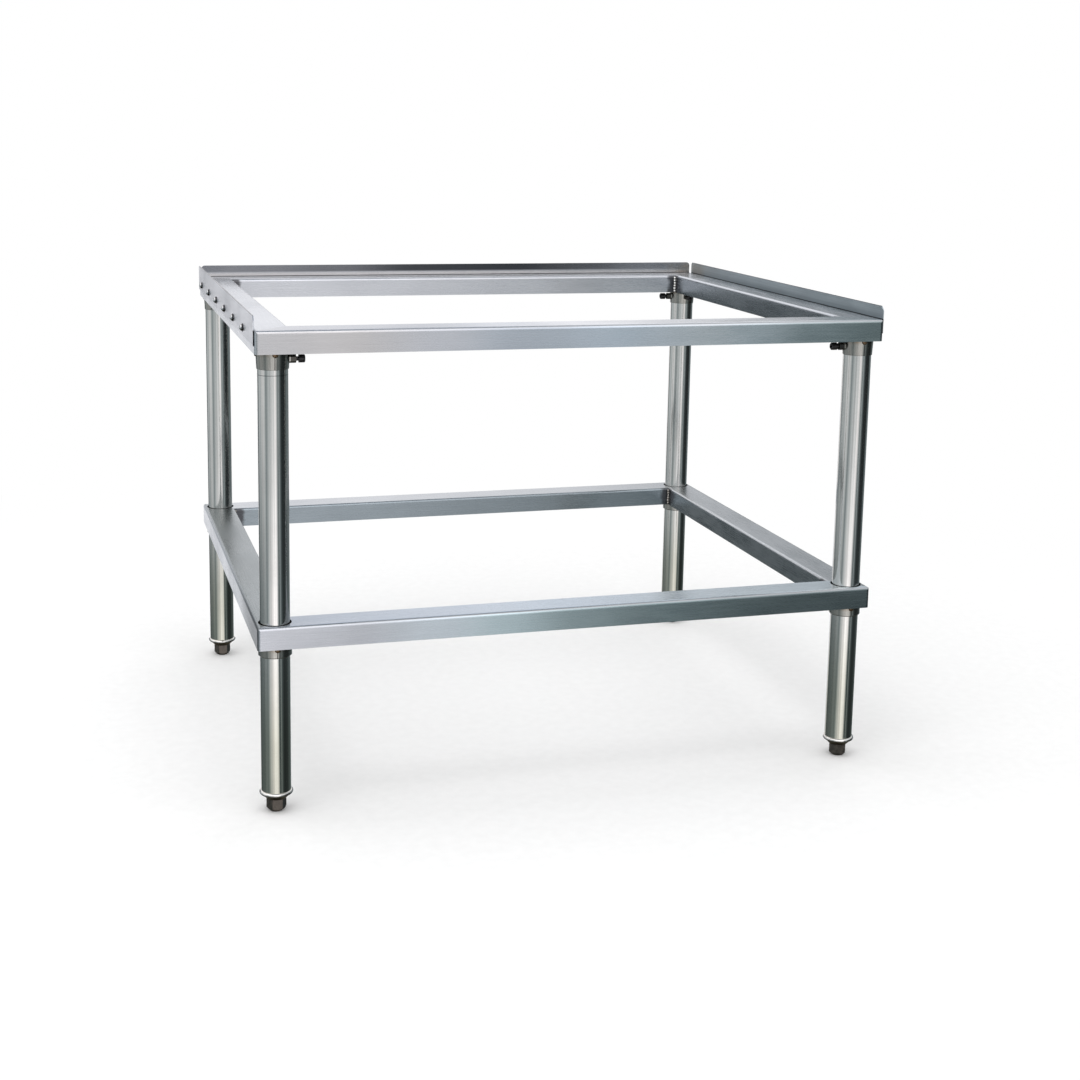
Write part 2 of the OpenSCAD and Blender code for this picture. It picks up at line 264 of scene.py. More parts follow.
# Painted light over the left undershelf rail's outer face, and painted shade on it towards the front
SHELF_OUTER_PAINTED_LIGHT = rgb(0.80, 0.81, 0.84)
SHELF_OUTER_FRONT_PAINTED_SHADE = rgb(0.070, 0.078, 0.085)
# Warm painted shade on the legs below the shelf
LOW_LEG_PAINTED_SHADE = rgb(0.66, 0.67, 0.57)
# Painted shade on a front rail's faces other than its front and its top
OTHER_FACES_PAINTED_SHADE = rgb(0.74, 0.74, 0.74)

# Where marks begin and where they are full, in metres. A skin picks one face out, by distance from it.
TINT_START, TINT_FULL, TINT_RAGGED, TINT_STRENGTH = 0.017, 0.009, 0.003, 0.92
INNER_SKIN = (0.0035, 0.0010)
FRONT_SKIN = (0.0014, 0.0003)
TOP_SKIN = (0.0010, 0.0002)
GUARD_SKIN = (0.0006, 0.0002)
OUTER_SKIN = (0.0030, 0.0010)


def weld_tint_and_corner_shade(axis):
    """Dark heat tint and painted shade beside the vertical weld in each inner corner, on the rails along one
    axis.
    """
    def marks(g, tone, gloss):
        along, across = ("X", "Y") if axis == "X" else ("Y", "X")
        end, face = (INNER_X, INNER_Y) if axis == "X" else (INNER_Y, INNER_X)
        ragged = g.spread(g.noise(g.stretched((90.0, 90.0, 90.0)), 1.0, detail=3.0),
                          -TINT_RAGGED, TINT_RAGGED)
        reach = g.math("ADD", g.math("ABSOLUTE", g.place(along)), ragged)
        near = g.ease(reach, end - TINT_START, end - TINT_FULL)
        inner = g.ease(g.math("ABSOLUTE", g.place(across)), face + INNER_SKIN[0], face + INNER_SKIN[1])
        tint = g.math("MULTIPLY", g.math("MULTIPLY", near, inner), TINT_STRENGTH)
        # heat tint with painted corner shade
        return g.mix(tint, tone, HEAT_TINT_AND_CORNER_SHADE), gloss
    return marks


def front_painted_reflections(top, face_stops, top_stops):
    """A front rail: weld tint with painted corner shade, painted reflections clouding its front face and its
    top, and painted shade on its other faces.
    """
    def marks(g, tone, gloss):
        along = g.span(g.place("X"), -HALF_W, HALF_W)
        face = g.ease(g.place("Y"), FRONT_SKIN[0] - HALF_D, FRONT_SKIN[1] - HALF_D)
        flat = g.ease(g.place("Z"), top - TOP_SKIN[0], top - TOP_SKIN[1])
        elsewhere = g.math("SUBTRACT", 1.0, g.math("MAXIMUM", face, flat))
        # Painted reflections on the front face and top; painted shade on the other faces
        tone = g.mix(face, tone, g.ramp(along, face_stops), "MULTIPLY")
        tone = g.mix(flat, tone, g.ramp(along, top_stops), "MULTIPLY")
        tone = g.mix(elsewhere, tone, OTHER_FACES_PAINTED_SHADE, "MULTIPLY")
        return weld_tint_and_corner_shade("X")(g, tone, gloss)
    return marks


def shelf_marks(g, tone, gloss):
    """The back undershelf rail: weld tint with painted corner shade, and painted shade on its inner face."""
    inner = g.ease(g.math("ABSOLUTE", g.place("Y")), INNER_Y + INNER_SKIN[0], INNER_Y + INNER_SKIN[1])
    tone = g.mix(inner, tone, SHELF_INNER_PAINTED_SHADE, "MULTIPLY")
    return weld_tint_and_corner_shade("X")(g, tone, gloss)


GROOVE_START, GROOVE_FULL = 0.62, 0.30


def bead_marks(bottom, pitch):
    """Dark oxide in the grooves between the ripples of a weld."""
    def marks(g, tone, gloss):
        turns = g.math("DIVIDE", g.math("SUBTRACT", g.place("Z"), bottom), pitch)
        swell = g.math("ABSOLUTE", g.math("SINE", g.math("MULTIPLY", turns, math.pi)))
        return g.mix(g.ease(swell, GROOVE_START, GROOVE_FULL), tone, OXIDE), gloss
    return marks


# Heights over the rail tops at which each mark on a guard begins and is full
CREVICE_RISE, BAND_RISE, TAN_RISE, FOOT_RISE = (0.0012, 0.0004), (0.005, 0.009), (0.008, 0.003), (0.013, 0.0)
EDGE_SKIN, EDGE_RISE = (0.0052, 0.0048), (0.0005, -0.0005)
BRIM_START, BRIM_FULL, BRIM_STRENGTH = 0.0006, 0.0003, 0.75
STAIN_START, STAIN_FULL, STAIN_STRENGTH = 0.09, 0.01, 0.65
TAN_STRENGTH, FOOT_STRENGTH, CREVICE_STRENGTH = 0.5, 0.65, 0.93
# How dark the painted reflection band on the back guard is, left to right
REFLECTION_BAND_STOPS = [(0.0, 0.50), (0.12, 0.55), (0.26, 0.70), (0.42, 0.93), (0.62, 0.95), (0.78, 0.75),
              (0.90, 0.45), (1.0, 0.25)]


def guard_marks(inner_at, dark_top):
    """Painted shade in the crevice where a guard meets the rail tops, and brown stains near the back right
    corner.

    inner_at is the axis and place of the inner face. dark_top paints a dark band of reflection on that face's
    upper part; without it the guard's front edge and brim get painted shade, and painted shade darkens its
    foot."""
    axis, place = inner_at

    def above_rail(g, heights):
        return g.ease(g.place("Z"), RAIL_TOP + heights[0], RAIL_TOP + heights[1])

    def marks(g, tone, gloss):
        inner = g.ease(g.math("ABSOLUTE", g.place(axis)), place + GUARD_SKIN[0], place + GUARD_SKIN[1])
        crevice = g.math("MULTIPLY", inner, above_rail(g, CREVICE_RISE))
        if dark_top:
            middle = g.ramp(g.span(g.place("X"), -HALF_W, HALF_W), REFLECTION_BAND_STOPS)
            band = g.math("MULTIPLY", g.math("MULTIPLY", inner, above_rail(g, BAND_RISE)), middle)
            # painted reflection band
            tone = g.mix(band, tone, GUARD_BAND_PAINTED_REFLECTION)
            tan = g.math("MULTIPLY", inner, above_rail(g, TAN_RISE))
            tone = g.mix(g.math("MULTIPLY", tan, TAN_STRENGTH), tone, PALE_TAN)
        else:
            front = g.ease(g.place("Y"), EDGE_SKIN[0] - HALF_D, EDGE_SKIN[1] - HALF_D)
            edge = g.math("MULTIPLY", front, above_rail(g, EDGE_RISE))
            brim = g.ease(g.place("Z"), GUARD_TOP - BRIM_START, GUARD_TOP - BRIM_FULL)
            brim = g.math("MULTIPLY", brim, BRIM_STRENGTH)
            # painted shade on the front edge and brim
            tone = g.mix(g.math("MAXIMUM", edge, brim), tone, EDGE_PAINTED_SHADE)
            low = g.math("MULTIPLY", inner, above_rail(g, FOOT_RISE))
            # painted shade at the guard's foot
            tone = g.mix(g.math("MULTIPLY", low, FOOT_STRENGTH), tone, GUARD_FOOT_PAINTED_SHADE)
        right = g.ease(g.place("X"), HALF_W - STAIN_START, HALF_W - STAIN_FULL)
        back = g.ease(g.place("Y"), HALF_D - STAIN_START, HALF_D - STAIN_FULL)
        cloud = g.spread(g.noise(g.stretched((28.0, 28.0, 60.0)), 1.0, detail=4.0), -0.1, 1.0)
        stain = g.math("MULTIPLY", g.math("MULTIPLY", g.math("MULTIPLY", right, back), cloud), inner)
        tone = g.mix(g.math("MULTIPLY", stain, STAIN_STRENGTH, clamp=True), tone, BROWN_STAIN)
        # painted shade in the crevice
        return g.mix(g.math("MULTIPLY", crevice, CREVICE_STRENGTH), tone, CREVICE_SHADE), gloss
    return marks


SHADE_START, SHADE_FULL, SHADE_STRENGTH = -0.10, 0.04 - HALF_D, 0.88


def shelf_left_marks(g, tone, gloss):
    """The left undershelf rail: weld tint with painted corner shade, and a painted reflection on its outer
    face: light, with painted shade towards the front.
    """
    tone, gloss = weld_tint_and_corner_shade("Y")(g, tone, gloss)
    outer = g.ease(g.place("X"), OUTER_SKIN[0] - HALF_W, OUTER_SKIN[1] - HALF_W)
    front = g.ease(g.place("Y"), SHADE_START, SHADE_FULL)
    # painted reflection on the outer face
    tone = g.mix(outer, tone, SHELF_OUTER_PAINTED_LIGHT)
    front_shade = g.math("MULTIPLY", g.math("MULTIPLY", outer, front), SHADE_STRENGTH)
    return g.mix(front_shade, tone, SHELF_OUTER_FRONT_PAINTED_SHADE), gloss


RING_DROP, RING_WANDER, RING_STRENGTH = 0.0075, 0.0004, 0.6
RING_START, RING_FULL = 0.0008, 0.0003
LOW_LEG_FULL, LOW_LEG_STRENGTH = 0.08, 0.8


def leg_marks(g, tone, gloss):
    """A thin ring rubbed round the front left leg, and warm painted shade on the steel below the shelf,
    growing towards the feet.
    """
    wander = g.spread(g.noise(g.stretched((30.0, 30.0, 30.0)), 1.0), -RING_WANDER, RING_WANDER)
    height = g.math("ADD", g.place("Z"), wander)
    away = g.math("ABSOLUTE", g.math("SUBTRACT", height, SOCKET_BOTTOM - RING_DROP))
    front_left = g.math("MULTIPLY", g.ease(g.place("X"), 0.1, -0.1), g.ease(g.place("Y"), 0.1, -0.1))
    ring = g.math("MULTIPLY", g.ease(away, RING_START, RING_FULL),
                  g.math("MULTIPLY", front_left, RING_STRENGTH))
    tone = g.mix(ring, tone, RUBBED)
    low_leg = g.math("MULTIPLY", g.ease(g.place("Z"), SHELF_TOP, LOW_LEG_FULL), LOW_LEG_STRENGTH)
    # painted shade below the shelf
    return g.mix(low_leg, tone, LOW_LEG_PAINTED_SHADE, "MULTIPLY"), gloss


SEAM_START, SEAM_FULL, SEAM_STRENGTH = 0.0009, 0.0004, 0.8
SEAM_NEAR, SEAM_FAR = 0.010, 0.014
HEAT_START, HEAT_FULL, HEAT_STRENGTH = 0.007, 0.001, 0.7
HEAT_ABOVE_START, HEAT_ABOVE_FULL = 0.010, 0.005
NUT_START, NUT_FULL, NUT_STRENGTH = 0.0030, 0.0036, 0.92


def socket_marks(g, tone, gloss):
    """The closing seam of each socket and collar, heat tint at the rails, and darker weld nuts."""
    aside = g.math("ABSOLUTE", g.math("SUBTRACT", g.math("ABSOLUTE", g.place("X")), LEG_X))
    outward = g.ease(g.math("ABSOLUTE", g.place("Y")), LEG_Y + SEAM_NEAR, LEG_Y + SEAM_FAR)
    seam = g.math("MULTIPLY", g.ease(aside, SEAM_START, SEAM_FULL), outward)
    tone = g.mix(g.math("MULTIPLY", seam, SEAM_STRENGTH), tone, SEAM_DARK)
    under_top = g.ease(g.place("Z"), RAIL_BOTTOM - HEAT_START, RAIL_BOTTOM - HEAT_FULL)
    in_shelf = g.math("MULTIPLY", g.ease(g.place("Z"), SHELF_BOTTOM - HEAT_START, SHELF_BOTTOM - HEAT_FULL),
                      g.ease(g.place("Z"), SHELF_TOP + HEAT_ABOVE_START, SHELF_TOP + HEAT_ABOVE_FULL))
    ragged = g.spread(g.noise(g.stretched((160.0, 160.0, 160.0)), 1.0, detail=4.0), 0.2, 0.9)
    heat = g.math("MULTIPLY", g.math("MAXIMUM", under_top, in_shelf), ragged)
    tone = g.mix(g.math("MULTIPLY", heat, HEAT_STRENGTH), tone, BROWN_HEAT)
    across = g.math("SUBTRACT", g.math("ABSOLUTE", g.place("Y")), LEG_Y)
    from_axis = g.add("ShaderNodeCombineXYZ", {"X": aside, "Y": across}).outputs[0]
    radius = g.add("ShaderNodeVectorMath", {0: from_axis}, operation="LENGTH").outputs["Value"]
    nut = g.ease(radius, TUBE_R + NUT_START, TUBE_R + NUT_FULL)
    return g.mix(g.math("MULTIPLY", nut, NUT_STRENGTH), tone, NUT_DARK), gloss


RIM_HEIGHT, RIM_FADE, RIM_STRENGTH = 0.0095, 0.004, 0.85
DOME_START, DOME_FULL = 0.0042, 0.0025


def flange_marks(g, tone, gloss):
    """Brown painted shade under the rim of each leg plug."""
    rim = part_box("leg_plug_front_left")[0][2] + RIM_HEIGHT
    under = g.ease(g.place("Z"), rim, rim - RIM_FADE)
    return g.mix(g.math("MULTIPLY", under, RIM_STRENGTH), tone, RIM_PAINTED_SHADE), gloss


def rivet_marks(g, tone, gloss):
    """The dome's lower edge lies in its own shadow."""
    sideways = g.math("SUBTRACT", g.math("ABSOLUTE", g.place("X")), HALF_W)
    backwards = g.math("SUBTRACT", g.math("ABSOLUTE", g.place("Y")), HALF_D)
    out = g.math("MAXIMUM", sideways, backwards)
    return g.mix(g.ease(out, DOME_START, DOME_FULL), tone, DOME_SHADE), gloss


# The rails and guards share one brushed steel; the lighter and darker tones given part by part are painted
# light and shade
LIGHT_LOW, LIGHT_HIGH = rgb(0.57, 0.585, 0.61), rgb(0.64, 0.65, 0.67)
MID_LOW, MID_HIGH = rgb(0.46, 0.485, 0.505), rgb(0.53, 0.555, 0.57)
RAIL_X = brushed("rail_steel_x", "X", LIGHT_LOW, LIGHT_HIGH, rough=0.26, marks=weld_tint_and_corner_shade("X"))
RAIL_Y = brushed("rail_steel_y", "Y", rgb(0.46, 0.49, 0.52), rgb(0.53, 0.56, 0.59), rough=0.26,
                 marks=weld_tint_and_corner_shade("Y"))
# Painted reflections along the front rails, left to right, multiplied into the tone
TOP_FACE_PAINTED_REFLECTION = [
    (0.0, (0.61, 0.60, 0.59)), (0.14, (0.63, 0.61, 0.59)), (0.28, (0.67, 0.68, 0.70)),
    (0.38, (0.60, 0.64, 0.68)), (0.55, (0.80, 0.87, 0.93)), (0.70, (0.95, 0.99, 1.0)),
    (0.78, (0.85, 0.92, 0.94)), (0.87, (0.58, 0.66, 0.66)), (1.0, (0.41, 0.48, 0.47))]
TOP_FLAT_PAINTED_REFLECTION = [
    (0.0, (0.64, 0.65, 0.66)), (0.14, (0.58, 0.60, 0.62)), (0.26, (0.50, 0.53, 0.56)),
    (0.38, (0.70, 0.73, 0.76)), (0.50, 1.0), (0.74, 1.0), (0.86, 0.92), (0.94, (0.52, 0.58, 0.60)),
    (1.0, (0.34, 0.40, 0.42))]
SHELF_FACE_PAINTED_REFLECTION = [
    (0.0, (0.87, 0.86, 0.88)), (0.14, (0.76, 0.76, 0.78)), (0.28, (0.89, 0.95, 0.98)),
    (0.38, (0.84, 0.97, 0.98)), (0.50, (0.63, 0.74, 0.74)), (0.62, (0.48, 0.57, 0.57)),
    (0.86, (0.36, 0.42, 0.42)), (1.0, (0.35, 0.40, 0.40))]
SHELF_FLAT_PAINTED_REFLECTION = [
    (0.0, (0.58, 0.62, 0.68)), (0.26, (0.70, 0.76, 0.83)), (0.50, (0.78, 0.86, 0.93)),
    (0.75, (0.88, 0.96, 1.0)), (1.0, (0.90, 0.97, 1.0))]
RAIL_FRONT = brushed("rail_steel_front", "X", rgb(0.79, 0.80, 0.82), rgb(0.87, 0.88, 0.90), rough=0.26,
                     marks=front_painted_reflections(RAIL_TOP, TOP_FACE_PAINTED_REFLECTION, TOP_FLAT_PAINTED_REFLECTION))
SHELF_X = brushed("shelf_steel_x", "X", MID_LOW, MID_HIGH, rough=0.26, marks=shelf_marks)
SHELF_FRONT = brushed("shelf_steel_front", "X", rgb(0.63, 0.65, 0.67), rgb(0.71, 0.735, 0.75), rough=0.26,
                      marks=front_painted_reflections(SHELF_TOP, SHELF_FACE_PAINTED_REFLECTION, SHELF_FLAT_PAINTED_REFLECTION))
SHELF_Y = brushed("shelf_steel_y", "Y", MID_LOW, MID_HIGH, rough=0.28, marks=weld_tint_and_corner_shade("Y"))
SHELF_LEFT = brushed("shelf_steel_left", "Y", rgb(0.20, 0.23, 0.235), rgb(0.26, 0.29, 0.295), rough=0.28,
                     marks=shelf_left_marks)
GUARD_BACK = brushed("guard_steel_back", "X", rgb(0.44, 0.45, 0.48), rgb(0.54, 0.55, 0.57), rough=0.26,
                     marks=guard_marks(("Y", HALF_D), True))
GUARD_LEFT = brushed("guard_steel_left", "Y", rgb(0.67, 0.68, 0.72), rgb(0.76, 0.77, 0.80), rough=0.34,
                     marks=guard_marks(("X", HALF_W), False))
GUARD_RIGHT = brushed("guard_steel_right", "Y", rgb(0.54, 0.60, 0.625), rgb(0.72, 0.78, 0.81), rough=0.38,
                      marks=guard_marks(("X", HALF_W), False))
TUBE = tube_steel("leg_steel", rgb(0.62, 0.605, 0.575), rgb(0.80, 0.785, 0.75), rough=0.12, marks=leg_marks)
SOCKET = tube_steel("socket_steel", rgb(0.33, 0.32, 0.29), rgb(0.48, 0.465, 0.425), rough=0.20,
                    marks=socket_marks)
PLUG = cast_metal("plug_steel", rgb(0.66, 0.64, 0.60), rgb(0.84, 0.82, 0.79),
                  rough=0.18, metallic=1.0, fineness=900.0, bumpiness=0.06, marks=flange_marks)
RIVET = cast_metal("rivet_steel", rgb(0.60, 0.60, 0.60), rgb(0.76, 0.76, 0.75),
                   rough=0.07, metallic=1.0, fineness=700.0, bumpiness=0.03, marks=rivet_marks)
# A near-black ring round each rivet head, put there as painted shade in the crevice
RIVET_GAP_SHADE = cast_metal("rivet_gap_painted_shade", rgb(0.012, 0.011, 0.010), rgb(0.030, 0.028, 0.026),
                   rough=0.6, metallic=0.0, fineness=700.0, bumpiness=0.2)
SCREW = cast_metal("black_oxide", rgb(0.020, 0.020, 0.023), rgb(0.055, 0.052, 0.052),
                   rough=0.34, metallic=0.7, fineness=900.0, bumpiness=0.2)
FOOT = cast_metal("foot_steel", rgb(0.085, 0.075, 0.065), rgb(0.19, 0.165, 0.14),
                  rough=0.36, metallic=1.0, fineness=600.0, bumpiness=0.25)
# The frame's weld bead is near-white with little metal: its bright ripples are painted highlights; the
# undershelf's bead below is the same weld without them
BEAD = cast_metal("weld_bead", rgb(0.86, 0.85, 0.82), rgb(0.97, 0.97, 0.96),
                  rough=0.30, metallic=0.10, fineness=500.0, bumpiness=0.15,
                  marks=bead_marks(RAIL_BOTTOM + WELD_FOOT, WELD_PITCH))
SHELF_BEAD = cast_metal("weld_bead_dull", rgb(0.34, 0.31, 0.27), rgb(0.70, 0.67, 0.62),
                        rough=0.32, metallic=0.9, fineness=500.0, bumpiness=0.15)
TACK = cast_metal("weld_tack", rgb(0.10, 0.065, 0.04), rgb(0.26, 0.18, 0.11),
                  rough=0.34, metallic=0.9, fineness=500.0, bumpiness=0.3)


def finish_for(node):
    if node.startswith("guard"):
        return {"guard_back": GUARD_BACK, "guard_left": GUARD_LEFT, "guard_right": GUARD_RIGHT}[node]
    if node == "shelf_rail_left":
        return SHELF_LEFT
    if node.endswith("rail_front"):
        return RAIL_FRONT if node.startswith("top") else SHELF_FRONT
    if node.startswith("shelf_rail"):
        return SHELF_X if node.endswith(("front", "back")) else SHELF_Y
    if node.startswith("top_rail"):
        return RAIL_X if node.endswith(("front", "back")) else RAIL_Y
    if node.startswith("leg_tube"):
        return TUBE
    if node.startswith("leg_plug"):
        return PLUG
    if "screws" in node:
        return SCREW
    if node.startswith("rivets"):
        return RIVET
    if node.startswith("foot"):
        return FOOT
    return SOCKET


def paint_nodes():
    for name, obj in nodes.items():
        obj.data.materials.clear()
        obj.data.materials.append(finish_for(name))


# --- Pieces -----------------------------------------------------------------------------------------
class Piece:
    """Collects lofted surfaces and makes one object of them, riding on one body."""

    def __init__(self, name, material, body, slot):
        self.name, self.material, self.body, self.slot = name, material, body, slot
        self.verts, self.faces = [], []

    def loft(self, rings, close_start=True, close_end=True):
        """Skins a list of rings of points; every ring has the same number of points."""
        first, n = len(self.verts), len(rings[0])
        for ring in rings:
            self.verts.extend(tuple(point) for point in ring)
        for r in range(len(rings) - 1):
            a, b = first + r * n, first + (r + 1) * n
            self.faces.extend((a + i, a + (i + 1) % n, b + (i + 1) % n, b + i) for i in range(n))
        if close_start:
            self.faces.append(tuple(first + i for i in reversed(range(n))))
        if close_end:
            last = first + (len(rings) - 1) * n
            self.faces.append(tuple(last + i for i in range(n)))

    def finish(self):
        mesh = bpy.data.meshes.new(self.name)
        mesh.from_pydata(self.verts, [], self.faces)
        shape = bmesh.new()
        shape.from_mesh(mesh)
        bmesh.ops.recalc_face_normals(shape, faces=shape.faces)
        shape.to_mesh(mesh)
        shape.free()
        mesh.polygons.foreach_set("use_smooth", [True] * len(mesh.polygons))
        mesh.materials.append(self.material)
        piece = bpy.data.objects.new(self.name, mesh)
        bpy.context.scene.collection.objects.link(piece)
        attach(piece, self.body)
        return piece


def circle_points(centre, across, up, radius_a, radius_b, count):
    """Points of an ellipse round a centre, in the plane of two unit vectors."""
    turns = [2 * math.pi * i / count for i in range(count)]
    return [centre + across * (radius_a * math.cos(t)) + up * (radius_b * math.sin(t)) for t in turns]


UP, EAST, NORTH = Vector((0, 0, 1)), Vector((1, 0, 0)), Vector((0, 1, 0))
BEAD_NECK, BEAD_SWELL, BEAD_SINK, BEAD_SWAY = 0.0006, 0.0014, 0.0003, 0.00025
BEAD_STEPS, BEAD_SIDES = 8, 14


def add_weld_beads(name, body, material, bottom):
    """A rippled vertical weld in each inner corner of a frame."""
    piece = Piece(name, material, body, "rail_steel")
    last = WELD_RIPPLES * BEAD_STEPS
    for sx, sy in CORNERS.values():
        rings = []
        for i in range(last + 1):
            z = bottom + WELD_PITCH * i / BEAD_STEPS
            phase = (i % BEAD_STEPS) / BEAD_STEPS
            swell = BEAD_NECK + BEAD_SWELL * math.sqrt(math.sin(math.pi * min(max(phase, 0.04), 0.96)))
            ends = min(1.0, 0.25 + 12.0 * min(i, last - i) / last)
            sway = BEAD_SWAY * math.sin(1.7 * (i // BEAD_STEPS) + sx + 2 * sy)
            centre = Vector((sx * (INNER_X - BEAD_SINK) + sway, sy * (INNER_Y - BEAD_SINK) - sway, z))
            rings.append(circle_points(centre, EAST, NORTH, swell * ends, swell * ends, BEAD_SIDES))
        piece.loft(rings)
    piece.finish()


TACK_HEIGHT, TACK_WIDTH, TACK_FLATNESS = 0.0052, 0.0044, 0.40
TACK_RINGS, TACK_SIDES = 12, 18
SOCKET_TACK_R, COLLAR_TACK_R = 0.0228, 0.0231


def add_tacks(name, body, rail_bottom, radius):
    """Brown weld blobs that join each socket or collar to the outer lips of the rails.

    radius is the socket's or collar's outer radius."""
    piece = Piece(name, TACK, body, "socket_steel")
    for corner, (sx, sy) in enumerate(CORNERS.values()):
        axis = Vector((sx * LEG_X, sy * LEG_Y, rail_bottom))
        for side, (out, across) in enumerate(((EAST * sx, NORTH), (NORTH * sy, EAST))):
            centre = axis + out * (radius + 0.0004) + across * (0.0008 * math.sin(3.0 * corner + side))
            rings = []
            for i in range(1, TACK_RINGS):
                turn = math.pi * i / TACK_RINGS
                wobble = 1.0 + 0.10 * math.sin(2.3 * i + corner)
                height = -TACK_HEIGHT * math.cos(turn)
                width = TACK_WIDTH * math.sin(turn) * wobble
                rings.append(circle_points(centre + UP * height, across, out, width, TACK_FLATNESS * width,
                                           TACK_SIDES))
            piece.loft(rings)
    piece.finish()


PIN_SIDES, GAP_SIDES = 20, 32
RIVET_ROWS = {"left": (6, -EAST), "right": (6, EAST), "back": (8, NORTH)}
# Radius, and height over the dome's top
PIN_PROFILE = [(0.00150, -0.00030), (0.00150, 0.00004), (0.00138, 0.00012), (0.00118, 0.00010),
               (0.00105, -0.00002), (0.00092, 0.00010), (0.00070, 0.00024), (0.00030, 0.00030)]
# Radius past the head's, and height over the guard's face
GAP_PROFILE = [(-0.0004, -0.0002), (-0.0004, 0.00022), (0.0001, 0.00020), (0.0006, 0.00006),
               (0.0007, -0.0002)]


def add_rivet_details():
    """The broken-off mandrel in each rivet's dome and the dark crevice round its head, a ring of painted
    shade.
    """
    for side, (count, out) in RIVET_ROWS.items():
        low, high = (Vector(corner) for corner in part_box("rivets_" + side))
        radius = (high.z - low.z) / 2
        along = EAST if side == "back" else NORTH
        guard = [Vector(corner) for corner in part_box("guard_" + side)]
        face = max(corner.dot(out) for corner in guard)
        dome = max(corner.dot(out) for corner in (low, high))
        start, end = low.dot(along) + radius, high.dot(along) - radius
        pins = Piece("rivet_pins_" + side, RIVET, "frame", "rivet_steel")
        gaps = Piece("rivet_gaps_" + side, RIVET_GAP_SHADE, "frame", "rivet_steel")
        for i in range(count):
            centre = along * (start + (end - start) * i / (count - 1)) + UP * (low.z + radius)
            pins.loft([circle_points(centre + out * (dome + h), along, UP, r, r, PIN_SIDES)
                       for r, h in PIN_PROFILE])
            rings = [circle_points(centre + out * (face + h), along, UP, radius + r, radius + r, GAP_SIDES)
                     for r, h in GAP_PROFILE]
            gaps.loft(rings + rings[:1], close_start=False, close_end=False)
        pins.finish()
        gaps.finish()


THREAD_PITCH, THREAD_TURNS, THREAD_STEPS, THREAD_FADE = 0.0020, 17, 30, 12
THREAD_ROOT, THREAD_CREST = 0.00790, 0.00830
THREAD_START, THREAD_HALF_ROOT, THREAD_HALF_CREST = 0.0012, 0.00075, 0.0001


def add_foot_threads():
    """A helical ridge on each levelling foot's stem, seen when the foot is wound out."""
    for corner, (sx, sy) in CORNERS.items():
        plug_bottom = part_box("leg_plug_" + corner)[0][2]
        axis = Vector((sx * LEG_X, sy * LEG_Y, 0))
        piece = Piece("foot_thread_" + corner, FOOT, "levelling_foot_" + corner, "foot_steel")
        rings = []
        last = THREAD_TURNS * THREAD_STEPS
        for i in range(last + 1):
            turn = 2 * math.pi * i / THREAD_STEPS
            z = plug_bottom + THREAD_START + THREAD_PITCH * i / THREAD_STEPS
            out = EAST * math.cos(turn) + NORTH * math.sin(turn)
            fade = min(1.0, i / THREAD_FADE, (last - i) / THREAD_FADE)
            crest = THREAD_ROOT + (THREAD_CREST - THREAD_ROOT) * fade
            rings.append([axis + out * radius + UP * (z + rise) for radius, rise in (
                (THREAD_ROOT, -THREAD_HALF_ROOT), (crest, -THREAD_HALF_CREST),
                (crest, THREAD_HALF_CREST), (THREAD_ROOT, THREAD_HALF_ROOT))])
        piece.loft(rings)
        piece.finish()


# --- Studio -----------------------------------------------------------------------------------------
# Brightness that polished steel mirrors, by compass direction in degrees: 0 is the front, 90 the right.
# LEVEL is what lies near the horizon, LOW what lies a little below it and SKY what lies above.
LEVEL = [(-180, 1.05), (-170, 1.05), (-165, 0.45), (-161, 0.06), (-150, 0.06), (-145, 0.38), (-128, 0.66),
         (-112, 0.55), (-100, 0.80), (-80, 0.80), (-70, 0.62), (-63, 0.30), (-57, 0.34), (-50, 0.50),
         (-36, 0.62), (-28, 0.50), (-20, 0.75), (-4, 0.72), (7, 1.15), (13, 0.95), (19, 0.66), (24, 0.34),
         (28, 0.20), (33, 0.55), (38, 0.26), (46, 0.12), (55, 0.030), (92, 0.025), (103, 0.18), (125, 0.24),
         (151, 0.15), (165, 1.10)]
LOW = [(-180, 0.90), (-168, 0.80), (-162, 0.08), (-148, 0.10), (-130, 0.17), (-102, 0.18), (-80, 0.28),
       (-64, 0.24), (-57, 0.45), (-44, 0.80), (-26, 1.05), (-11, 1.60), (2, 1.45), (8, 1.30), (14, 0.95),
       (19, 0.34), (24, 0.11), (29, 0.06), (36, 0.34), (45, 0.12), (60, 0.04), (90, 0.05), (118, 0.13),
       (140, 0.14), (155, 0.5), (165, 0.85), (180, 0.90)]
SKY = [(-180, 1.4), (-165, 1.1), (-140, 1.1), (-60, 1.6), (12, 1.9), (30, 1.2), (90, 0.7), (140, 0.9),
       (180, 1.4)]
# Heights on a unit sphere between which one band gives way to the next, and the colours at its ends
LOW_BAND, GROUND_BAND, SKY_BAND, ZENITH_BAND = (-0.15, -0.32), (-0.42, -0.62), (0.22, 0.42), (0.90, 0.97)
GROUND, ZENITH = rgb(0.085, 0.085, 0.070), rgb(0.22, 0.27, 0.34)


def slate(value):
    """Bright reflections are nearly neutral, dark ones bluish slate."""
    keep = min(1.0, value)
    return (value * (0.74 + 0.26 * keep), value * (0.96 + 0.03 * keep), value * (1.03 - 0.01 * keep))


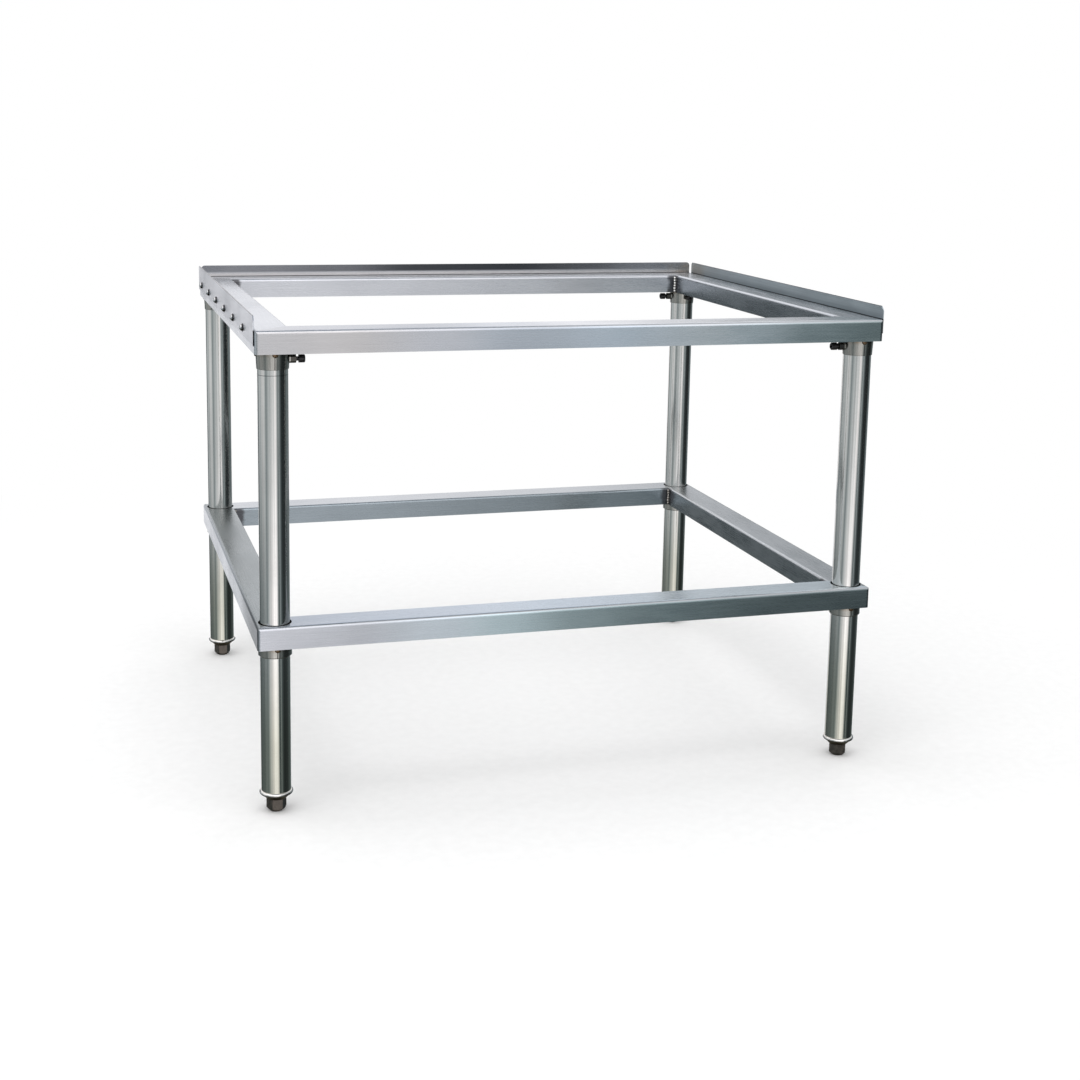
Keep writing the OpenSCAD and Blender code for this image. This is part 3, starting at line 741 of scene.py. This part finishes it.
def add_world():
    world = bpy.data.worlds.new("studio")
    bpy.context.scene.world = world
    g = Graph(world)
    direction = g.add("ShaderNodeTexCoord").outputs["Generated"]
    axes = g.add("ShaderNodeSeparateXYZ", {0: direction}).outputs
    azimuth = g.math("ARCTAN2", axes[0], g.math("MULTIPLY", axes[1], -1.0))
    place = g.math("ADD", g.math("DIVIDE", azimuth, 2 * math.pi), 0.5)
    level, low, high = (g.ramp(place, [((a + 180) / 360, slate(v)) for a, v in ring])
                        for ring in (LEVEL, LOW, SKY))
    ring = g.mix(g.ease(axes[2], *LOW_BAND), level, low)
    ground = g.mix(g.ease(axes[2], *GROUND_BAND), ring, GROUND)
    sky = g.mix(g.ease(axes[2], *ZENITH_BAND), high, ZENITH)
    mirrored = g.mix(g.ease(axes[2], *SKY_BAND), ground, sky)
    path = g.add("ShaderNodeLightPath").outputs
    seen = g.mix(path["Is Glossy Ray"], rgb(1.0, 1.0, 1.0), mirrored)
    surface = g.add("ShaderNodeBackground", {"Color": seen, "Strength": 1.0}).outputs[0]
    g.add("ShaderNodeOutputWorld", {"Surface": surface})


FLOOR_REACH, FLOOR_DROP, FLOOR_FADE = 40.0, 0.0002, (0.7, 1.9)


def add_floor():
    """A pale floor that fades into the white surround, so no horizon shows."""
    mesh = bpy.data.meshes.new("floor")
    corners = [(x * FLOOR_REACH, y * FLOOR_REACH, 0) for x, y in ((-1, -1), (1, -1), (1, 1), (-1, 1))]
    mesh.from_pydata(corners, [], [(0, 1, 2, 3)])
    floor = bpy.data.objects.new("floor", mesh)
    bpy.context.scene.collection.objects.link(floor)
    floor.location.z = -FLOOR_DROP
    material = bpy.data.materials.new("pale_floor")
    g = Graph(material)
    grain = g.noise(g.stretched((60.0, 60.0, 60.0)), 1.0, detail=3.0)
    tone = g.mix(g.spread(grain, 0.0, 1.0), rgb(0.90, 0.90, 0.90), rgb(0.93, 0.93, 0.93))
    shader = g.add("ShaderNodeBsdfPrincipled",
                   {"Base Color": tone, "Roughness": 0.9, "Specular IOR Level": 0.1})
    glow = g.add("ShaderNodeEmission", {"Color": rgb(1.0, 1.0, 1.0), "Strength": 1.0})
    place = g.add("ShaderNodeTexCoord").outputs["Object"]
    away = g.add("ShaderNodeVectorMath", {0: place}, operation="LENGTH").outputs["Value"]
    fade = g.ease(away, *FLOOR_FADE)
    surface = g.add("ShaderNodeMixShader", {0: fade, 1: shader.outputs[0], 2: glow.outputs[0]})
    g.add("ShaderNodeOutputMaterial", {"Surface": surface.outputs[0]})
    mesh.materials.append(material)
    floor.visible_glossy = False


def add_light(name, place, target, size, power):
    data = bpy.data.lights.new(name, "AREA")
    data.shape = "DISK"
    data.size = size
    data.energy = power
    light = bpy.data.objects.new(name, data)
    light.location = place
    light.rotation_mode = "QUATERNION"
    light.rotation_quaternion = (Vector(target) - Vector(place)).to_track_quat("-Z", "Y")
    bpy.context.scene.collection.objects.link(light)
    light.visible_glossy = False


def add_studio():
    add_world()
    add_floor()
    add_light("soft_top", place=(-0.8, -0.6, 3.2), target=(0, 0, 0.3), size=2.4, power=25.0)
    bpy.context.scene.view_settings.view_transform = "Standard"
    bpy.context.scene.view_settings.look = "None"


add_camera()
add_studio()
paint_nodes()
add_weld_beads("frame_weld_beads", "frame", BEAD, RAIL_BOTTOM + WELD_FOOT)
add_weld_beads("shelf_weld_beads", "shelf", SHELF_BEAD, SHELF_BOTTOM + WELD_FOOT)
add_tacks("socket_tacks", "frame", RAIL_BOTTOM, SOCKET_TACK_R)
add_tacks("collar_tacks", "shelf", SHELF_BOTTOM, COLLAR_TACK_R)
add_rivet_details()
add_foot_threads()
